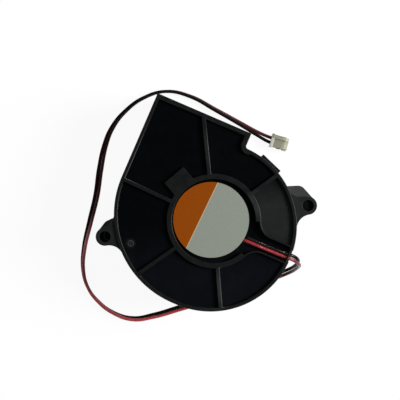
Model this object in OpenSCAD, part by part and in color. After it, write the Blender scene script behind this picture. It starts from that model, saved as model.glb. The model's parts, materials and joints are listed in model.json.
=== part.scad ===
// Radial blower with a brushless motor, the suction fan of a small floor cleaner.
// The rotor turns about Z. The blower stands on its intake collar at Z = 0, the motor
// side faces up, and the air leaves through the outlet towards +Y.

/* [Housing] */
// Overall height, from the intake collar to the rear rim
body_height = 30; // [29:0.5:36]
// Axis to the left wall
body_left = 40.1; // [39:0.1:44]
// Axis to the right side
body_right = 35.6; // [35:0.1:38]
// Axis to the side away from the outlet
body_foot = 37; // [36:0.1:38.5]
// Axis to the outlet face
body_outlet = 38.5; // [36:0.5:46]
// Axis to the outer face of the wall between outlet and scroll
outlet_right = 1.2; // [-2:0.1:2]
// How far the widest point of the scroll lies below the axis
scroll_drop = 2; // [0.5:0.1:2.6]
// Radius of the scroll next to the outlet
scroll_near_r = 34.2; // [32.8:0.1:34.6]
// Radius of the scroll on the way to the left wall
scroll_far_r = 38.7; // [37:0.1:40]
// Fillet in the notch between outlet and scroll
notch_r = 1.2; // [1:0.1:3]
// Wall thickness of the scroll
wall_t = 1.8; // [1.2:0.1:2.2]
// Thickness of the rear plate under its panels
plate_t = 2; // [1.6:0.1:3]

/* [Rear face] */
// Depth of the panels below the rim
recess_d = 1.4; // [0.6:0.1:1.8]
// Width of the rim
rim_w = 1.5; // [1:0.1:2.5]
// Width of the rim at the outlet face
mouth_rim_w = 1.9; // [1.5:0.1:4]
// Width of the rim along the wall between outlet and scroll
tongue_rim_w = 2.2; // [1.8:0.1:4]
// Outer radius of the hub ring
ring_r = 19.2; // [18.5:0.1:20]
// Inner radius of the hub ring
ring_in_r = 16.9; // [16.9:0.1:17.4]
// How far the hub ring lies off the axis, towards the wire channel
ring_shift = 1.2; // [0:0.1:1.2]
// Radius of the disc that carries the label
hub_disc_r = 15.5; // [15.4:0.05:15.5]
// Depth of the groove around that disc
groove_d = 1.8; // [0.8:0.1:2.2]
// Radius of the label
label_r = 15.3; // [14:0.1:15.4]
// Thickness of the label
label_t = 0.15; // [0.1:0.05:0.3]
// How far the label's seat lies below the rim
label_drop = 0.5; // [0.3:0.1:0.8]
// Number of ribs
rib_count = 5; // [3:1:5]
// Angle of the first rib
rib_first = 59.3; // [50:0.1:62]
// Angle from rib to rib
rib_step = 59.6; // [50:0.1:62]
// Width of a rib
rib_w = 1.7; // [0.8:0.1:2.5]
// Width of the rectangular pad on the hub ring
pad_w = 10.2; // [6:0.2:12]
// Axis to the outer edge of the pad
pad_reach = 23.7; // [21:0.1:26]
// Angle of the pad
pad_angle = 153; // [140:1:160]
// Diameter of an ejector pin mark
pin_mark_d = 4.5; // [2:0.5:6]
// Depth of an ejector pin mark
pin_mark_depth = 0.12; // [0.05:0.01:0.3]

/* [Wire channel] */
// Upper side of the channel, across from the axis
channel_top = 2.4; // [1.5:0.1:4]
// Lower side of the channel, across from the axis
channel_bottom = 3.8; // [3.2:0.1:5]
// Width of the walls along the channel
channel_wall = 0.8; // [0.5:0.1:1.4]
// Fillet from the hub ring into those walls
channel_fillet = 6.5; // [4:0.1:8]
// Thickness of the plate left under the channel
channel_floor_t = 1; // [0.8:0.1:1.4]
// Upper side of the gap in the rim, across from the axis
gap_top = 1.5; // [0.6:0.1:2]
// Lower side of the gap in the rim, across from the axis
gap_bottom = 3.2; // [3:0.1:3.6]
// Thickness of the bridge that holds the wires down
bridge_t = 0.8; // [0.5:0.1:0.9]

/* [Ears] */
// Distance between the two mounting holes
ear_pitch = 83.2; // [82:0.1:88]
// Direction of the line through the holes
ear_angle = 32; // [30:0.5:34]
// Diameter of a mounting hole
ear_hole_d = 4.4; // [3.2:0.1:4.8]
// Radius of an ear's end
ear_r = 3.7; // [3.4:0.1:4.5]
// Fillet from an ear to the wall
ear_fillet = 6; // [4:0.1:8]
// How far an ear's top lies below the rim
ear_drop = 0.8; // [0.4:0.1:3]
// How far an ear's shelf lies below the rim
shelf_drop = 3.4; // [2.5:0.1:8]

/* [Front cover] */
// Height of the intake collar
collar_h = 2.2; // [1.6:0.1:4]
// Width of the intake collar
collar_w = 3.5; // [2:0.1:5]
// Radius of the intake
intake_r = 21.5; // [20:0.1:22]
// Thickness of the cover
cover_t = 1.8; // [1.4:0.1:3]
// Height of the locating lip inside the wall
lip_h = 2; // [1:0.1:3]
// Thickness of the locating lip
lip_t = 0.9; // [0.6:0.1:1]
// Width of the snap arm
arm_w = 9.8; // [8:0.1:12]
// Thickness of the snap arm
arm_t = 1.2; // [1:0.1:2]
// Height of the snap arm over the cover
arm_h = 16; // [12:0.5:20]
// Gap between snap arm and wall
arm_gap = 0.4; // [0.3:0.1:0.8]
// Direction of the snap arm, seen from the centre of the near scroll arc
arm_angle = 69.5; // [67:0.5:72]
// Width of the window in the snap arm
window_w = 6; // [4:0.1:7]
// Height of the window in the snap arm
window_h = 4; // [3:0.1:5]

/* [Impeller] */
// Outer radius of the blades
impeller_r = 27; // [25:0.1:27.5]
// Inner radius of the blades
blade_in_r = 21.8; // [20:0.1:22.5]
// Radius of a blade's curve
blade_curve_r = 6; // [5.5:0.1:9]
// Thickness of a blade
blade_t = 0.9; // [0.6:0.1:1.2]
// Number of blades
blade_count = 36; // [20:1:40]
// Running gap of the wheel towards the cover and the rear plate
wheel_gap = 1; // [0.6:0.1:1.5]
// Thickness of the wheel's back disc
disc_t = 1.2; // [0.8:0.1:2]
// Height of the ring on the front ends of the blades
front_ring_h = 1.4; // [0.8:0.1:3]
// Width of the ring on the front ends of the blades
front_ring_w = 2; // [1:0.1:4]
// Wall of the hub cup
cup_wall = 1.5; // [1:0.1:2]
// Thickness of the hub cup's front
cup_front_t = 2; // [1.6:0.1:3]
// How far the hub cup's front lies behind the cover
cup_setback = 2.2; // [1.2:0.1:3]

/* [Motor] */
// Radius of the stator
stator_r = 11.5; // [11:0.1:11.6]
// Air gap between stator and magnet
air_gap = 0.4; // [0.3:0.05:0.6]
// Thickness of the magnet ring
magnet_t = 2; // [1.5:0.1:2.2]
// How far the magnet ring reaches past the stack at each end
magnet_over = 1.7; // [0.5:0.1:1.9]
// Thickness of the yoke
yoke_t = 1; // [0.7:0.1:1.2]
// Height of the stack of laminations
stack_h = 7; // [5:0.5:8]
// Number of laminations
lamination_count = 14; // [7:1:16]
// Width of a pole
pole_w = 3.6; // [3:0.1:4]
// Thickness of an insulator's plate
insulator_t = 0.8; // [0.6:0.1:1]
// Thickness of a winding
winding_t = 0.9; // [0.6:0.1:1]
// Room between stack and circuit board
winding_room = 3.1; // [2.9:0.1:3.5]
// Thickness of the circuit board
board_t = 1; // [0.8:0.1:1.6]
// Radius of the circuit board
board_r = 13.3; // [12.8:0.1:13.8]
// Gap between circuit board and rear plate
board_gap = 2; // [1.8:0.1:2.4]

/* [Shaft and bearings] */
// Diameter of the shaft
shaft_d = 3; // [3:0.1:3.2]
// Outer diameter of a bearing
bearing_d = 8; // [8:0.1:8.4]
// Width of a bearing
bearing_w = 3; // [3:0.1:4]
// Diameter of a ball
ball_d = 1.2; // [1.1:0.05:1.25]
// Number of balls in a bearing
ball_count = 7; // [5:1:8]
// Wall of the bearing tube
tube_wall = 1; // [0.8:0.1:1.2]
// Height of the step between the bearing seats
tube_step = 0.6; // [0.4:0.1:0.8]
// Radius of the bush in the hub
insert_r = 3.2; // [2.8:0.1:4]
// Height of the spring between bush and front bearing
spring_h = 1.4; // [1.2:0.1:2]
// Diameter of the spring wire
spring_wire = 0.3; // [0.25:0.05:0.35]
// Thickness of the washer on the rear bearing
washer_t = 0.3; // [0.2:0.05:0.4]
// Thickness of the clip on the shaft
clip_t = 0.4; // [0.3:0.05:0.5]

/* [Wires and connector] */
// Diameter of a wire over its insulation
wire_d = 1.4; // [1.2:0.05:1.4]
// Diameter of the bare strands
strand_d = 0.7; // [0.5:0.05:0.9]
// Length of the connector
plug_l = 7.6; // [7.4:0.1:9]
// Width of the connector across its two ways
plug_w = 5.8; // [5.6:0.1:7]
// Thickness of the connector
plug_t = 4.8; // [4.6:0.1:4.8]
// Direction of the connector
plug_angle = 7.5; // [6:0.5:9]
// Width of the space for a contact
cavity_w = 1.6; // [1.5:0.05:1.7]
// Height of the space for a contact
cavity_h = 2.2; // [2:0.1:2.6]

/* [Hidden] */
$fn = 96;
cut = 0.5;
// Clearances: pressed seats, parts laid into each other, parts that run past each other
press_gap = 0.01;
fit_gap = 0.1;
run_gap = 0.03;
// Overlap of round shapes that would otherwise only touch
weld = 0.02;

// Heights of the housing
split_z = collar_h + cover_t;
panel_z = body_height - recess_d;
ceiling_z = panel_z - plate_t;
channel_z = ceiling_z + channel_floor_t;
label_z = body_height - label_drop;
ear_z = body_height - ear_drop;
shelf_z = body_height - shelf_drop;

// Arcs of the scroll: near the outlet, across from it, and on the way to the left wall
scroll_mid_r = body_foot - scroll_drop;
near_c = [body_right - scroll_near_r, -scroll_drop];
mid_c = [body_right - scroll_mid_r, -scroll_drop];
far_c = [scroll_far_r - body_left, scroll_far_r - body_foot];
// Centre of the fillet between the outlet's wall and the scroll
notch_x = outlet_right + notch_r;
notch_c = [
    notch_x, near_c[1] + sqrt(pow(scroll_near_r + notch_r, 2) - pow(notch_x - near_c[0], 2))
];

// Mounting holes: the line's middle lies a little off the axis
ear_mid = [-1.55, -1.25];
ear_half = ear_pitch / 2 * [cos(ear_angle), sin(ear_angle)];
ear_right = ear_mid + ear_half;
ear_left = ear_mid - ear_half;
// Each ear's shelf runs from the hole to a corner and from there into the wall
shelf_right = [ear_right, ear_right + [-5.4, 2.5], ear_right + [-12.6, -1]];
shelf_left = [ear_left, ear_left + [1, 3.9], ear_left + [5, 8.4]];

// Wheel and hub
wheel_z = split_z + wheel_gap;
disc_top_z = ceiling_z - wheel_gap;
disc_z = disc_top_z - disc_t;
cup_z = split_z + cup_setback;
cup_floor_z = cup_z + cup_front_t;
magnet_in_r = stator_r + air_gap;
magnet_out_r = magnet_in_r + magnet_t;
yoke_r = magnet_out_r + press_gap + yoke_t;
cup_in_r = yoke_r + press_gap;
cup_r = cup_in_r + cup_wall;
cup_edge_r = 2.5;

// Motor, from the rear plate downwards
board_top_z = ceiling_z - board_gap;
board_z = board_top_z - board_t;
board_clear = 0.6;
chip_inset = 3.1;
chip_ring_r = board_r - chip_inset;
stack_top_z = board_z - winding_room;
stack_z = stack_top_z - stack_h;
magnet_z = stack_z - magnet_over;
magnet_top_z = stack_top_z + magnet_over;
insert_z = cup_z + cup_front_t / 2;
insert_rise = 1.4;
insert_top_z = cup_floor_z + yoke_t + insert_rise;
tube_in_r = bearing_d / 2 + press_gap;
tube_r = tube_in_r + tube_wall;
boss_wall = 1.6;
boss_r = tube_r + boss_wall;
boss_h = 1.4;
core_wall = 2;
core_r = tube_r + core_wall;
pole_count = 4;
pole_span = 76;
lamination_gap = 0.02;
shoe_t = 1.3;
insulator_side = 0.3;
pin_d = 0.6;
pin_inset = 0.7;
pin_ring_r = core_r - pin_inset;
pin_out = 0.5;
pin_depth = 2;
pin_foot_z = board_z - pin_depth;
coil_gap_in = 0.6;
coil_gap_out = 0.2;
coil_half_w = pole_w / 2 + insulator_side + fit_gap + winding_t;
coil_in_r = core_r + coil_gap_in;
// The coils' outer corners stay inside the pole shoes
coil_out_r = sqrt(pow(stator_r - shoe_t - coil_gap_out, 2) - pow(coil_half_w, 2));

// Bearings
bearing_sink = 2.1;
tube_over = 1.5;
tube_under = 0.6;
front_bearing_z = insert_top_z + spring_h;
rear_bearing_z = label_z - bearing_sink - bearing_w;
front_mid_z = front_bearing_z + bearing_w / 2;
rear_mid_z = rear_bearing_z + bearing_w / 2;
tube_z = front_bearing_z - tube_under;
tube_top_z = rear_bearing_z + bearing_w + tube_over;
race_t = 0.75;
inner_race_r = shaft_d / 2 + race_t;
outer_race_r = bearing_d / 2 - race_t;
ball_ring_r = (inner_race_r + outer_race_r) / 2;
groove_r = ball_d / 2 + run_gap;
cage_t = 0.4;
cage_finger_t = 0.28;
cage_h = 2;
cage_gap = 4;
shield_t = 0.2;
washer_z = rear_bearing_z + bearing_w;
clip_z = washer_z + washer_t;
shaft_out = 0.5;
shaft_top_z = clip_z + clip_t + shaft_out;
shaft_groove_d = 2.2;
spring_turns = 3;
spring_gap = 0.15;

// Wires: centre of the pair, direction from red to black as azimuth and tilt, half their distance
route = [
    [9.5, -1.5, 25.5, 90, 0, 0.75], [11.5, -1.5, 25.8, 90, 0, 0.75], [13.5, -1.5, 26.9, 90, 0, 0.75],
    [15.5, -1.5, 27.9, 90, 0, 0.75], [18, -1.5, 28.4, 90, 0, 0.75], [32, -1.3, 28.4, 90, 0, 0.75],
    [35.5, -1.1, 28.3, 92, 0, 0.75], [37.8, -1.2, 27.2, 100, 0, 0.75],
    [39.4, -1.7, 25, 115, 0, 0.75], [40.4, -2.3, 21, 135, -8, 0.75], [40.9, -3.3, 15, 150, -18, 0.75],
    [40.9, -4.5, 10, 150, -20, 0.75], [40.5, -5.8, 6.2, 145, -18, 0.75], [39.3, -7.6, 3.3, 138, -14, 0.75],
    [37.1, -10.1, 1.4, 133, -12, 0.75], [33.2, -13.9, 0.86, 131, -12, 0.75], [23, -23.2, 0.92, 131, -16, 0.75],
    [13, -32.1, 0.97, 131, -20, 0.75], [3, -40.6, 1.04, 130, -26, 0.75], [-6, -48, 1.2, 126, -40, 0.75],
    [-13.5, -52.6, 1.37, 110, -60, 0.75], [-22, -53.6, 1.46, 86, -80, 0.75],
    [-30.5, -51.6, 1.48, 66, -90, 0.75], [-37, -47.6, 1.47, 48, -98, 0.75],
    [-41.6, -41.6, 1.44, 32, -108, 0.75], [-44.8, -33, 1.34, 17, -125, 0.75],
    [-46.9, -22, 1.14, 10, -146, 0.75], [-49, -10, 0.98, 12, -160, 0.75], [-52, 1, 0.98, 12, -200, 0.75],
    [-54, 11, 1.22, 4, -222, 0.75], [-54.2, 19, 1.38, -10, -240, 0.75], [-51.8, 28, 1.46, -22, -258, 0.75],
    [-46.6, 36.6, 1.5, -38, -268, 0.75], [-39, 42.7, 1.5, -60, -276, 0.75],
    [-28.7, 44.8, 1.46, -86, -286, 0.75], [-16.5, 43.8, 1.42, -95, -297, 0.75],
    [-4.2, 42.5, 1.42, -97, -312, 0.75], [4.2, 41.5, 1.8, -95, -332, 0.8],
    [10, 41.15, 2.4, -84, -360, 1], [11.98, 41.41, 2.4, -82.5, -360, 1]
];
wire_sides = 8;
lead_start = route[0];
lead_end = route[len(route) - 1];
plug_entry = 1.6;
plug_at = [lead_end[0], lead_end[1], lead_end[2]] - plug_entry * [cos(plug_angle), sin(plug_angle), 0];
way_pitch = 2 * lead_end[5];
// The stripped strands run from the solder to the start of the insulation
strand_l = 1.6;
strand_mid = lead_start[0] - strand_l / 2 - fit_gap;
// Window under the label's edge where the wires come up
lead_window_w = 4;
lead_window_back = 1;

// Catch for the snap arm
catch_drop = 3;
catch_z = split_z + arm_h - window_h - catch_drop;
catch_h = window_h - 3 * fit_gap;
catch_out = arm_gap + 0.8 * arm_t;

// Ejector pin marks
pin_marks = [[27.2, -11.2], [-26.1, -21.6]];

// A point on a circle
function polar(radius, angle) = radius * [cos(angle), sin(angle)];
// Centre of a circle of radius r that touches two circles from outside,
// on the left of the line from c1 to c2 if side is 1
function touching_centre(c1, r1, c2, r2, r, side) =
    let (gap = c2 - c1, d = norm(gap), a = r1 + r, b = r2 + r)
    let (along = (a * a - b * b + d * d) / (2 * d), across = sqrt(a * a - along * along))
    c1 + along * gap / d + side * across * [-gap[1], gap[0]] / d;

// A quarter of a disc
module quarter(centre, radius, start) {
    translate(centre) intersection() {
        circle(radius);
        rotate(start) square(radius);
    }
}

// Outline of the scroll and its outlet, moved inwards, with the outlet cut off at mouth_y
module outline(inset, mouth_y) {
    top = near_c[1] + scroll_near_r - inset;
    left = inset - body_left;
    foot = inset - body_foot;
    right = outlet_right - inset;
    quarter(near_c, scroll_near_r - inset, 0);
    quarter(mid_c, scroll_mid_r - inset, 270);
    quarter(far_c, scroll_far_r - inset, 180);
    polygon([
        near_c, mid_c, [mid_c[0], foot], [far_c[0], foot], far_c,
        [left, far_c[1]], [left, top], [near_c[0], top]
    ]);
    translate([left, far_c[1]]) square([right - left, mouth_y - far_c[1]]);
    difference() {
        polygon([near_c, notch_c, [right, notch_c[1]], [right, near_c[1]]]);
        translate(notch_c) circle(notch_r + inset + weld);
    }
}

// A bar with round ends
module stadium(from, to, radius) {
    run = to - from;
    half = radius - weld;
    translate(from) circle(radius);
    translate(to) circle(radius);
    translate(from) rotate(atan2(run[1], run[0])) translate([0, -half]) square([norm(run), 2 * half]);
}

// Broad lower shape of an ear
module ear_shelf(points) {
    stadium(points[0], points[1], ear_r);
    stadium(points[1], points[2], ear_r);
}

// Narrow upper shape of an ear, with a fillet to the wall on both sides
module ear_lug(hole, wall_c, wall_r) {
    sides = [for (side = [-1, 1]) touching_centre(hole, ear_r, wall_c, wall_r, ear_fillet, side)];
    translate(hole) circle(ear_r);
    difference() {
        polygon([hole, sides[0], wall_c, sides[1]]);
        for (centre = sides) translate(centre) circle(ear_fillet + weld);
    }
}

// Strip of the wire channel and its flare into the hub ring, wider by grow on each side
module channel_strip(grow) {
    ring = ring_r - channel_wall + grow;
    fillet = channel_fillet + channel_wall - grow;
    translate([ring_shift, 0]) for (side = [[1, channel_top], [-1, channel_bottom]]) {
        edge = side[1] + grow;
        across = edge + fillet;
        along = sqrt((ring + fillet) * (ring + fillet) - across * across);
        flip = side[0];
        difference() {
            polygon([
                [0, 0], [along, flip * across], [along, flip * edge],
                [body_right, flip * edge], [body_right, 0]
            ]);
            translate([along, flip * across]) circle(fillet + weld);
        }
    }
}

// Panels sunk into the rear face
module panels() {
    difference() {
        outline(rim_w, body_outlet - mouth_rim_w);
        channel_strip(channel_wall);
        translate([ring_shift, 0]) {
            circle(ring_r);
            for (i = [0:rib_count - 1])
                rotate(rib_first + i * rib_step) translate([0, -rib_w / 2]) square([2 * body_left, rib_w]);
        }
        rotate(pad_angle) translate([0, -pad_w / 2]) square([pad_reach, pad_w]);
        translate([outlet_right - tongue_rim_w, notch_c[1]]) square(body_outlet);
        translate(notch_c) circle(notch_r + tongue_rim_w + weld);
    }
}

// Floor of the wire channel, outside the label's disc and inside the rim
module channel_floor() {
    difference() {
        intersection() {
            channel_strip(0);
            outline(rim_w, body_outlet);
        }
        circle(hub_disc_r);
    }
}

// Groove between the label's disc and the hub ring
module label_groove() {
    difference() {
        translate([ring_shift, 0]) circle(ring_in_r);
        circle(hub_disc_r);
    }
}

module ring_2d(outer, inner) {
    difference() {
        circle(outer);
        circle(inner);
    }
}

module tube(outer, inner, z, h) {
    translate([0, 0, z]) linear_extrude(h) ring_2d(outer, inner);
}

module ear_holes() {
    for (hole = [ear_right, ear_left])
        translate([hole[0], hole[1], -cut]) cylinder(d = ear_hole_d, h = body_height + 2 * cut);
}

// Catch for the snap arm: it rises with height and ends in a flat top
module snap_catch() {
    slope_h = 0.7 * catch_h;
    translate(near_c) rotate(arm_angle) translate([scroll_near_r, 0, catch_z + fit_gap])
        rotate([90, 0, 0]) linear_extrude(window_w - 4 * fit_gap, center = true) polygon([
            [-wall_t, 0], [fit_gap, 0], [catch_out, slope_h], [catch_out, catch_h], [-wall_t, catch_h]
        ]);
}

module rear_shell() {
    difference() {
        union() {
            translate([0, 0, split_z]) linear_extrude(body_height - split_z) outline(0, body_outlet);
            translate([0, 0, split_z]) linear_extrude(shelf_z - split_z) {
                ear_shelf(shelf_right);
                ear_shelf(shelf_left);
            }
            translate([0, 0, split_z]) linear_extrude(ear_z - split_z) {
                ear_lug(ear_right, near_c, scroll_near_r);
                ear_lug(ear_left, far_c, scroll_far_r);
            }
            snap_catch();
        }
        translate([0, 0, split_z - cut]) linear_extrude(ceiling_z - split_z + cut)
            outline(wall_t, body_outlet + cut);
    }
    translate([0, 0, ceiling_z - boss_h]) cylinder(r = boss_r, h = boss_h + plate_t / 2);
}

module rear_housing() {
    color("#1b1e20") difference() {
        rear_shell();
        ear_holes();
        translate([0, 0, panel_z]) linear_extrude(recess_d + cut) panels();
        translate([0, 0, channel_z]) linear_extrude(body_height) channel_floor();
        translate([0, 0, body_height - groove_d]) linear_extrude(groove_d + cut) label_groove();
        translate([0, 0, label_z]) cylinder(r = hub_disc_r + fit_gap, h = label_drop + cut);
        // Seat and opening of the bearing tube
        translate([0, 0, ceiling_z - boss_h - cut])
            cylinder(r = tube_r + press_gap, h = tube_top_z - ceiling_z + boss_h + cut);
        cylinder(r = tube_in_r, h = body_height);
        // Window for the wires
        translate([lead_start[0] + lead_window_back, lead_start[1] - lead_window_w / 2, ceiling_z - cut])
            cube([ring_in_r - lead_start[0], lead_window_w, body_height]);
        // Gap in the rim, with the bridge over its inner half
        translate([body_right - 2 * rim_w, -gap_bottom, channel_z])
            cube([3 * rim_w, gap_top + gap_bottom, body_height - bridge_t - channel_z]);
        translate([body_right - rim_w / 2, -gap_bottom, channel_z])
            cube([rim_w, gap_top + gap_bottom, body_height]);
        for (mark = pin_marks)
            translate([mark[0], mark[1], panel_z - pin_mark_depth])
                cylinder(d = pin_mark_d, h = body_height);
    }
}

module snap_arm() {
    translate(near_c) rotate(arm_angle) translate([scroll_near_r, -arm_w / 2, collar_h]) difference() {
        union() {
            translate([-2 * wall_t, 0, 0]) cube([2 * wall_t + arm_gap + arm_t, arm_w, cover_t]);
            translate([arm_gap, 0, 0]) cube([arm_t, arm_w, cover_t + arm_h]);
        }
        translate([arm_gap - cut, (arm_w - window_w) / 2, catch_z - collar_h])
            cube([arm_t + 2 * cut, window_w, window_h]);
    }
}

module front_cover() {
    lip_inset = wall_t + fit_gap;
    color("#1d2022") difference() {
        union() {
            translate([0, 0, collar_h]) linear_extrude(cover_t) {
                outline(0, body_outlet);
                ear_shelf(shelf_right);
                ear_shelf(shelf_left);
                ear_lug(ear_right, near_c, scroll_near_r);
                ear_lug(ear_left, far_c, scroll_far_r);
            }
            cylinder(r = intake_r + collar_w, h = split_z);
            translate([0, 0, split_z]) linear_extrude(lip_h) intersection() {
                difference() {
                    outline(lip_inset, 2 * body_outlet);
                    outline(lip_inset + lip_t, 2 * body_outlet);
                }
                translate([-2 * body_left, -2 * body_foot])
                    square([4 * body_left, 2 * body_foot + body_outlet]);
            }
            snap_arm();
        }
        ear_holes();
        translate([0, 0, -cut]) cylinder(r = intake_r, h = split_z + 2 * cut);
    }
}

module label() {
    color("#8b928a") translate([0, 0, label_z]) cylinder(r = label_r, h = label_t);
}

// One forward-curved blade: it starts radially and leans towards the turning direction
module blade_2d() {
    intersection() {
        translate([blade_in_r, -blade_curve_r])
            ring_2d(blade_curve_r + blade_t / 2, blade_curve_r - blade_t / 2);
        ring_2d(impeller_r - run_gap, blade_in_r);
        translate([blade_in_r - cut, -blade_curve_r]) square([2 * blade_curve_r, 2 * blade_curve_r]);
    }
}

module impeller() {
    color("#232629") {
        translate([0, 0, wheel_z + fit_gap]) linear_extrude(disc_z + disc_t / 2 - wheel_z - fit_gap)
            for (i = [0:blade_count - 1]) rotate(i * 360 / blade_count) blade_2d();
        tube(impeller_r, cup_in_r, disc_z, disc_t);
        tube(impeller_r, impeller_r - front_ring_w, wheel_z, front_ring_h);
        rotate_extrude() difference() {
            union() {
                translate([0, cup_z + cup_edge_r]) square([cup_r, disc_z - cup_z - cup_edge_r]);
                translate([0, cup_z]) square([cup_r - cup_edge_r, 2 * cup_edge_r]);
                intersection() {
                    translate([cup_r - cup_edge_r, cup_z + cup_edge_r]) circle(cup_edge_r);
                    translate([0, cup_z]) square([cup_r, cup_edge_r]);
                }
            }
            translate([0, cup_floor_z]) square([cup_in_r, body_height]);
            translate([0, insert_z]) square([insert_r + press_gap, body_height]);
        }
    }
}

module hub_insert() {
    color("#b08d4a") tube(insert_r, shaft_d / 2 + press_gap, insert_z, insert_top_z - insert_z);
}

module rotor_yoke() {
    wall_in_r = yoke_r - yoke_t;
    color("#8f9498") {
        tube(yoke_r, wall_in_r, cup_floor_z, magnet_top_z + fit_gap - cup_floor_z);
        tube(yoke_r, insert_r + press_gap, cup_floor_z, yoke_t);
    }
}

module magnet_ring() {
    color("#3a3634") tube(magnet_out_r, magnet_in_r, magnet_z, magnet_top_z - magnet_z);
}

module shaft() {
    end_edge = 0.3;
    color("#c9cdd0") rotate_extrude() polygon([
        [0, insert_z], [shaft_d / 2, insert_z], [shaft_d / 2, clip_z], [shaft_groove_d / 2, clip_z],
        [shaft_groove_d / 2, clip_z + clip_t], [shaft_d / 2, clip_z + clip_t],
        [shaft_d / 2, shaft_top_z - end_edge], [shaft_d / 2 - end_edge, shaft_top_z], [0, shaft_top_z]
    ]);
}

module shaft_clip() {
    clip_w = 0.9;
    clip_r = shaft_d / 2 + clip_w;
    slot_w = 0.7 * shaft_d;
    color("#6e7377") translate([0, 0, clip_z]) linear_extrude(clip_t) difference() {
        ring_2d(clip_r, shaft_groove_d / 2 + press_gap);
        translate([0, -slot_w / 2]) square([2 * clip_r, slot_w]);
    }
}

module thrust_washer() {
    color("#d8d2c0") tube(inner_race_r, shaft_d / 2 + press_gap, washer_z, washer_t);
}

// A round tube swept along points, with rings set square to the path and closed ends
function sweep_frame(points, i) =
    let (last = len(points) - 1)
    let (ahead = points[min(i + 1, last)] - points[max(i - 1, 0)])
    let (along = ahead / norm(ahead), flat = norm([along[0], along[1]]))
    let (side = flat > 0.05 ? [-along[1], along[0], 0] / flat : [0, 1, 0])
    [side, cross(along, side)];
function sweep_ring(points, i, radius, sides) =
    let (frame = sweep_frame(points, i))
    [for (k = [0:sides - 1])
        points[i] + radius * (cos(k * 360 / sides) * frame[0] + sin(k * 360 / sides) * frame[1])];
module sweep(points, radius, sides) {
    count = len(points);
    rings = [for (i = [0:count - 1]) each sweep_ring(points, i, radius, sides)];
    skin = [for (i = [0:count - 2], k = [0:sides - 1])
        let (next = (k + 1) % sides)
        [i * sides + k, (i + 1) * sides + k, (i + 1) * sides + next, i * sides + next]];
    first = [for (k = [0:sides - 1]) k];
    last = [for (k = [0:sides - 1]) (count - 1) * sides + sides - 1 - k];
    polyhedron(rings, concat([first], skin, [last]));
}

module preload_spring() {
    steps = 14;
    lift = spring_h - spring_wire - 2 * run_gap;
    radius = shaft_d / 2 + spring_wire / 2 + spring_gap;
    low = insert_top_z + spring_wire / 2 + run_gap;
    turns = [for (i = [0:spring_turns * steps]) let (angle = i * 360 / steps)
        [radius * cos(angle), radius * sin(angle), low + lift * i / (spring_turns * steps)]];
    color("#b9bdc0") sweep(turns, spring_wire / 2, 6);
}

module bearing_tube() {
    step_r = tube_in_r - tube_step;
    color("#b8954f") rotate_extrude() polygon([
        [tube_r, tube_z], [tube_r, tube_top_z], [tube_in_r, tube_top_z], [tube_in_r, rear_bearing_z],
        [step_r, rear_bearing_z], [step_r, front_bearing_z + bearing_w],
        [tube_in_r, front_bearing_z + bearing_w], [tube_in_r, tube_z]
    ]);
}

// Bearing parts, with the middle of the bearing at z
module outer_race(z) {
    color("#aeb3b6") translate([0, 0, z]) rotate_extrude() difference() {
        translate([outer_race_r, -bearing_w / 2]) square([race_t, bearing_w]);
        translate([ball_ring_r, 0]) circle(groove_r);
    }
}

module inner_race(z) {
    color("#b4b9bc") translate([0, 0, z]) rotate_extrude() difference() {
        translate([shaft_d / 2 + press_gap, -bearing_w / 2]) square([race_t - press_gap, bearing_w]);
        translate([ball_ring_r, 0]) circle(groove_r);
    }
}

module ball_set(z) {
    color("#d5d9dc") translate([0, 0, z]) for (i = [0:ball_count - 1])
        rotate(i * 360 / ball_count) translate([ball_ring_r, 0, 0]) sphere(d = ball_d);
}

// A crown: a closed band beside the balls, with thinner fingers between them
module ball_cage(z) {
    finger = 360 / ball_count - 2 * asin(groove_r / ball_ring_r) - cage_gap;
    band = (cage_h - ball_d) / 2 - run_gap;
    color("#9c7b3c") translate([0, 0, z]) {
        tube(ball_ring_r + cage_t / 2, ball_ring_r - cage_t / 2, -cage_h / 2, band);
        for (i = [0:ball_count - 1]) rotate((i + 0.5) * 360 / ball_count)
            translate([0, 0, (band - cage_h) / 2]) linear_extrude(cage_h - band) intersection() {
                ring_2d(ball_ring_r + cage_finger_t / 2, ball_ring_r - cage_finger_t / 2);
                wedge_2d(finger);
            }
    }
}

module shields(z) {
    color("#c2c6c9") for (low = [z - bearing_w / 2, z + bearing_w / 2 - shield_t])
        tube(outer_race_r - press_gap, inner_race_r + fit_gap, low, shield_t);
}

module rear_outer_race() { outer_race(rear_mid_z); }
module rear_inner_race() { inner_race(rear_mid_z); }
module rear_balls() { ball_set(rear_mid_z); }
module rear_cage() { ball_cage(rear_mid_z); }
module rear_shields() { shields(rear_mid_z); }
module front_outer_race() { outer_race(front_mid_z); }
module front_inner_race() { inner_race(front_mid_z); }
module front_balls() { ball_set(front_mid_z); }
module front_cage() { ball_cage(front_mid_z); }
module front_shields() { shields(front_mid_z); }

// A wedge of the plane, as wide as span, around the direction of +X
module wedge_2d(span) {
    reach = 2 * stator_r;
    polygon([[0, 0], polar(reach, -span / 2), polar(reach, 0), polar(reach, span / 2)]);
}

module each_pole() {
    for (i = [0:pole_count - 1]) rotate(i * 360 / pole_count) children();
}

module lamination_2d() {
    difference() {
        union() {
            circle(core_r);
            each_pole() translate([0, -pole_w / 2]) square([stator_r - shoe_t / 2, pole_w]);
            each_pole() intersection() {
                ring_2d(stator_r, stator_r - shoe_t);
                wedge_2d(pole_span);
            }
        }
        circle(tube_r + press_gap);
    }
}

module stator_laminations() {
    sheet = stack_h / lamination_count;
    color("#7d8286") for (i = [0:lamination_count - 1])
        translate([0, 0, stack_z + i * sheet]) linear_extrude(sheet - lamination_gap) lamination_2d();
}

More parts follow.
